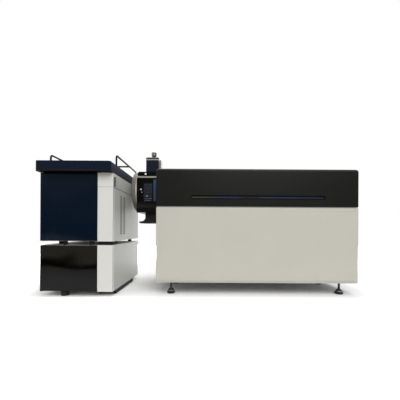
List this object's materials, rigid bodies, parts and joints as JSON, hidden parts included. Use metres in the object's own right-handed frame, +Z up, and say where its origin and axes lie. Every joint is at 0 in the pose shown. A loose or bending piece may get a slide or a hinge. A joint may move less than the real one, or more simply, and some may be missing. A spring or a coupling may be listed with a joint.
{
  "type": "liquid chromatograph mass spectrometer",
  "caption": "Bench liquid chromatograph: stacked pump and sampler modules with a solvent tray, joined by an ion source to a wide mass analyser cabinet.",
  "frame": {"origin": "under the middle of the whole instrument, on the bench", "axes": "+X from the chromatograph to the analyser, +Y from front to back, +Z up"},
  "size_m": [1.712, 0.716, 0.864],
  "materials": {
    "lc_panel": "fine textured silver-grey paint",
    "door_gloss": "high-gloss near-black navy",
    "pump_gloss": "high-gloss near-black",
    "strip_white": "satin warm white",
    "tray_navy": "satin navy",
    "black_plastic": "matt black",
    "rubber": "matt rubber",
    "steel": "turned stainless steel",
    "chrome": "polished",
    "aluminium": "machined",
    "ms_pale": "satin warm light grey",
    "ms_grey": "satin grey",
    "hood_black": "satin black moulding",
    "light": "diffusing light strip",
    "flange_grey": "warm grey with a bright rim",
    "source_black": "gloss black",
    "probe_blue": "gloss dark blue",
    "bar_grey": "satin light grey",
    "handle_blue": "gloss blue",
    "window": "tinted pane",
    "ceramic": "plain"
  },
  "bodies": {
    "cabinets": {"chamber_lid": "aluminium", "column": "steel", "cooling_deck": "aluminium", "degasser": "aluminium", "door_pins": "steel", "fan_frame": "black_plastic", "gantry_rail": "steel", "injection_valve": "steel", "ion_detector": "steel", "ms_base": "ms_grey", "ms_deck": "ms_grey", "ms_feet": "steel", "ms_front_panel": "ms_pale", "ms_hood": "hood_black", "ms_light_strip": "light", "ms_shell": "ms_grey", "ms_supply": "aluminium", "oven_block": "aluminium", "oven_case": "lc_panel", "oven_strip": "strip_white", "power_inlets": "black_plastic", "probe_box": "probe_blue", "probe_cap": "source_black", "pump_bulkhead": "ms_grey", "pump_case": "lc_panel", "pump_drives": "aluminium", "pump_feet": "rubber", "pump_heads": "steel", "pump_strip": "strip_white", "purge_valve": "steel", "quadrupoles": "ceramic", "sampler_bulkhead": "ms_grey", "sampler_case": "lc_panel", "sampler_strip": "strip_white", "sampling_cone": "steel", "solvent_tray": "tray_navy", "source_bar": "bar_grey", "source_bracket": "black_plastic", "source_flange": "flange_grey", "source_head": "source_black", "source_housing": "source_black", "sprayer": "steel", "stack_feet": "rubber", "tray_rails": "black_plastic", "turbo_pumps": "aluminium", "vacuum_chamber": "aluminium", "vacuum_port": "steel", "vial_rack": "black_plastic"},
    "pump_door": {"pump_door": "pump_gloss"},
    "sampler_door": {"sampler_door": "door_gloss"},
    "source_door": {"source_door": "source_black", "source_window": "window", "source_handle": "handle_blue"},
    "purge_knob": {"purge_knob": "black_plastic"},
    "needle_carriage": {"needle_carriage": "aluminium"},
    "needle_arm": {"needle_arm": "black_plastic"},
    "probe_knob": {"probe_knob": "chrome"},
    "pump_switch": {"pump_switch": "black_plastic"},
    "ms_switch": {"ms_switch": "black_plastic"},
    "fan_rotor": {"fan_rotor": "black_plastic"}
  },
  "joints": [
    {"name": "pump_door_swing", "type": "hinge", "parent": "cabinets", "child": "pump_door", "pos_m": [-0.846, -0.308, 0.149], "axis": [0, 0, -1], "range_deg": [0, 110]},
    {"name": "sampler_door_swing", "type": "hinge", "parent": "cabinets", "child": "sampler_door", "pos_m": [-0.846, -0.308, 0.4735], "axis": [0, 0, -1], "range_deg": [0, 110]},
    {"name": "source_door_swing", "type": "hinge", "parent": "cabinets", "child": "source_door", "pos_m": [-0.391, -0.083, 0.599], "axis": [0, 0, -1], "range_deg": [0, 90]},
    {"name": "purge_knob_turn", "type": "hinge", "parent": "cabinets", "child": "purge_knob", "pos_m": [-0.594, -0.261, 0.176], "axis": [0, -1, 0], "range_deg": [0, 180]},
    {"name": "carriage_slide", "type": "slide", "parent": "cabinets", "child": "needle_carriage", "axis": [1, 0, 0], "range_m": [-0.037, 0.275]},
    {"name": "needle_slide", "type": "slide", "parent": "needle_carriage", "child": "needle_arm", "axis": [0, 0, 1], "range_m": [-0.028, 0.055]},
    {"name": "probe_knob_turn", "type": "hinge", "parent": "cabinets", "child": "probe_knob", "pos_m": [-0.3165, 0.017, 0.838], "axis": [0, 0, 1], "range_deg": [-180, 180]},
    {"name": "pump_switch_rock", "type": "hinge", "parent": "cabinets", "child": "pump_switch", "pos_m": [-0.721, 0.202, 0.083], "axis": [1, 0, 0], "range_deg": [-6, 6]},
    {"name": "ms_switch_rock", "type": "hinge", "parent": "cabinets", "child": "ms_switch", "pos_m": [-0.113, 0.336, 0.125], "axis": [1, 0, 0], "range_deg": [-6, 6]},
    {"name": "fan_spin", "type": "hinge", "parent": "cabinets", "child": "fan_rotor", "pos_m": [0.616, 0.3275, 0.222], "axis": [0, 1, 0], "continuous": true}
  ]
}
